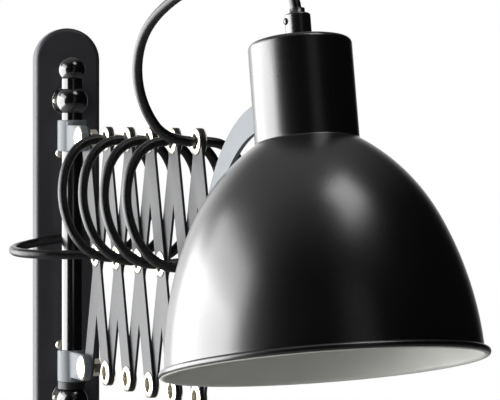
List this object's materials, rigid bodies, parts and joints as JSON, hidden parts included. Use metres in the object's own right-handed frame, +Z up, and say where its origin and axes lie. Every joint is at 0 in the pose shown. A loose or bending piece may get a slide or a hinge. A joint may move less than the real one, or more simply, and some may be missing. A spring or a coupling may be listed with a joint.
{
  "type": "accordion wall lamp",
  "caption": "Wall lamp with a pill-shaped plate and rail, a folding scissor arm laced with its textile cord, a crescent arm and a tilting domed metal shade.",
  "frame": {"origin": "centre of the wall strap's back face, on the wall plane", "axes": "+Y into the wall, +Z up, the lamp stands out towards -Y"},
  "size_m": [0.2097, 0.5583, 0.3233],
  "materials": {
    "plate_black": "satin black powder coat",
    "strap_steel": "zinc plated",
    "fastener_nickel": "polished nickel plate",
    "block_plastic": "moulded",
    "grommet_rubber": "moulded",
    "rail_black": "gloss black enamel",
    "bush_plastic": "moulded",
    "bracket_grey": "satin silver grey",
    "bar_black": "satin black enamel",
    "eyelet_nickel": "bright nickel plate",
    "arm_grey": "satin silver grey",
    "shade_black": "fine-textured matte black powder coat outside, off-white inside",
    "lug_black": "satin black",
    "knob_black": "moulded",
    "steel_tube": "zinc plated",
    "holder_plastic": "moulded",
    "contact_brass": "stamped",
    "grip_black": "satin black",
    "cord_textile": "braided black textile"
  },
  "bodies": {
    "wall_rail": {"wall_plate": "plate_black", "wall_strap": "strap_steel", "plate_standoffs": "strap_steel", "plate_screws": "fastener_nickel", "terminal_block": "block_plastic", "cord_grommet": "grommet_rubber", "rail_rod": "rail_black", "rail_posts": "rail_black", "post_screws": "fastener_nickel", "finial_balls": "rail_black", "thrust_bush": "bush_plastic", "cord_wall": "cord_textile"},
    "lower_bracket": {"lower_bracket": "bracket_grey", "lower_pivot_screw": "fastener_nickel", "lower_pivot_nut": "fastener_nickel"},
    "upper_bracket": {"upper_bracket": "bracket_grey", "upper_pivot_screw": "fastener_nickel", "upper_pivot_nut": "fastener_nickel"},
    "front_bar_1": {"front_bar_1": "bar_black", "eyelets_1": "eyelet_nickel"},
    "rear_bar_1": {"rear_bar_1": "bar_black", "cord_rear_1": "cord_textile"},
    "front_bar_2": {"front_bar_2": "bar_black", "eyelets_2": "eyelet_nickel", "cord_front_1": "cord_textile"},
    "rear_bar_2": {"rear_bar_2": "bar_black", "cord_rear_2": "cord_textile"},
    "front_bar_3": {"front_bar_3": "bar_black", "eyelets_3": "eyelet_nickel", "cord_front_2": "cord_textile"},
    "rear_bar_3": {"rear_bar_3": "bar_black", "cord_rear_3": "cord_textile"},
    "front_bar_4": {"front_bar_4": "bar_black", "eyelets_4": "eyelet_nickel", "cord_front_3": "cord_textile"},
    "rear_bar_4": {"rear_bar_4": "bar_black", "cord_rear_4": "cord_textile"},
    "front_bar_5": {"front_bar_5": "bar_black", "eyelets_5": "eyelet_nickel", "cord_front_4": "cord_textile"},
    "rear_bar_5": {"rear_bar_5": "bar_black", "cord_rear_5": "cord_textile"},
    "front_half_bar": {"front_half_bar": "bar_black", "eyelet_half_bar": "eyelet_nickel"},
    "rear_half_bar": {"rear_half_bar": "bar_black"},
    "tip": {"tip_bolt": "fastener_nickel", "tip_wing_nut": "fastener_nickel", "cord_loop": "cord_textile"},
    "arm": {"crescent_arm": "arm_grey"},
    "shade": {"shade": "shade_black", "shade_lug": "lug_black", "shade_pivot_screw": "fastener_nickel", "shade_pivot_knob": "knob_black", "lampholder_nipple": "steel_tube", "nipple_nut": "fastener_nickel", "lampholder_cap": "holder_plastic", "lampholder_sleeve": "holder_plastic", "lampholder_contact": "contact_brass", "cord_grip": "grip_black", "cord_grip_screw": "grip_black"}
  },
  "joints": [
    {"name": "swivel", "type": "hinge", "parent": "wall_rail", "child": "lower_bracket", "pos_m": [0, -0.038, 0], "axis": [0, 0, 1], "range_deg": [-70.5, 49.5], "deforming": ["cord_wall"]},
    {"name": "extend", "type": "hinge", "parent": "lower_bracket", "child": "rear_bar_1", "pos_m": [0.0062, -0.07143, -0.07565], "axis": [0.9833, 0.1822, 0], "range_deg": [-8.5, 44.5], "deforming": ["cord_wall", "cord_loop"]},
    {"name": "top_pivot_1", "type": "hinge", "parent": "rear_bar_1", "child": "front_bar_2", "pos_m": [0.01384, -0.11268, 0.07565], "axis": [0.9833, 0.1822, 0], "range_deg": [-89, 17]},
    {"name": "low_pivot_2", "type": "hinge", "parent": "front_bar_2", "child": "rear_bar_3", "pos_m": [0.02149, -0.15394, -0.07565], "axis": [0.9833, 0.1822, 0], "range_deg": [-17, 89]},
    {"name": "top_pivot_3", "type": "hinge", "parent": "rear_bar_3", "child": "front_bar_4", "pos_m": [0.02913, -0.19519, 0.07565], "axis": [0.9833, 0.1822, 0], "range_deg": [-89, 17]},
    {"name": "low_pivot_4", "type": "hinge", "parent": "front_bar_4", "child": "rear_bar_5", "pos_m": [0.03678, -0.23645, -0.07565], "axis": [0.9833, 0.1822, 0], "range_deg": [-17, 89]},
    {"name": "top_pivot_5", "type": "hinge", "parent": "rear_bar_5", "child": "front_half_bar", "pos_m": [0.04443, -0.2777, 0.07565], "axis": [0.9833, 0.1822, 0], "range_deg": [-89, 17]},
    {"name": "crossing_1", "type": "hinge", "parent": "rear_bar_1", "child": "front_bar_1", "pos_m": [0.01002, -0.09206, 0], "axis": [0.9833, 0.1822, 0], "range_deg": [-89, 17]},
    {"name": "crossing_2", "type": "hinge", "parent": "front_bar_2", "child": "rear_bar_2", "pos_m": [0.01767, -0.13331, 0], "axis": [0.9833, 0.1822, 0], "range_deg": [-17, 89]},
    {"name": "crossing_3", "type": "hinge", "parent": "rear_bar_3", "child": "front_bar_3", "pos_m": [0.02531, -0.17456, 0], "axis": [0.9833, 0.1822, 0], "range_deg": [-89, 17]},
    {"name": "crossing_4", "type": "hinge", "parent": "front_bar_4", "child": "rear_bar_4", "pos_m": [0.03296, -0.21582, 0], "axis": [0.9833, 0.1822, 0], "range_deg": [-17, 89]},
    {"name": "crossing_5", "type": "hinge", "parent": "rear_bar_5", "child": "front_bar_5", "pos_m": [0.0406, -0.25707, 0], "axis": [0.9833, 0.1822, 0], "range_deg": [-89, 17]},
    {"name": "tip_crossing", "type": "hinge", "parent": "front_half_bar", "child": "rear_half_bar", "pos_m": [0.04825, -0.29833, 0], "axis": [0.9833, 0.1822, 0], "range_deg": [-17, 89]},
    {"name": "upper_bracket_pivot", "type": "hinge", "parent": "front_bar_1", "child": "upper_bracket", "pos_m": [0.0062, -0.07143, 0.07565], "axis": [0.9833, 0.1822, 0], "range_deg": [-8.5, 44.5]},
    {"name": "tip_pivot", "type": "hinge", "parent": "front_half_bar", "child": "tip", "pos_m": [0.04825, -0.29833, 0], "axis": [0.9833, 0.1822, 0], "range_deg": [-8.5, 44.5]},
    {"name": "arm", "type": "hinge", "parent": "tip", "child": "arm", "pos_m": [0.04825, -0.29833, 0], "axis": [0.9833, 0.1822, 0], "range_deg": [-30, 30], "deforming": ["cord_loop"]},
    {"name": "shade_tilt", "type": "hinge", "parent": "arm", "child": "shade", "pos_m": [0.06792, -0.40445, 0.09169], "axis": [-0.9833, -0.1822, 0], "range_deg": [-25, 60], "deforming": ["cord_loop"]}
  ],
  "couplings": [
    {"joint": "top_pivot_1", "follows": "extend", "ratio": -2},
    {"joint": "low_pivot_2", "follows": "extend", "ratio": 2},
    {"joint": "top_pivot_3", "follows": "extend", "ratio": -2},
    {"joint": "low_pivot_4", "follows": "extend", "ratio": 2},
    {"joint": "top_pivot_5", "follows": "extend", "ratio": -2},
    {"joint": "crossing_1", "follows": "extend", "ratio": -2},
    {"joint": "crossing_2", "follows": "extend", "ratio": 2},
    {"joint": "crossing_3", "follows": "extend", "ratio": -2},
    {"joint": "crossing_4", "follows": "extend", "ratio": 2},
    {"joint": "crossing_5", "follows": "extend", "ratio": -2},
    {"joint": "tip_crossing", "follows": "extend", "ratio": 2},
    {"joint": "upper_bracket_pivot", "follows": "extend", "ratio": 1},
    {"joint": "tip_pivot", "follows": "extend", "ratio": 1}
  ]
}
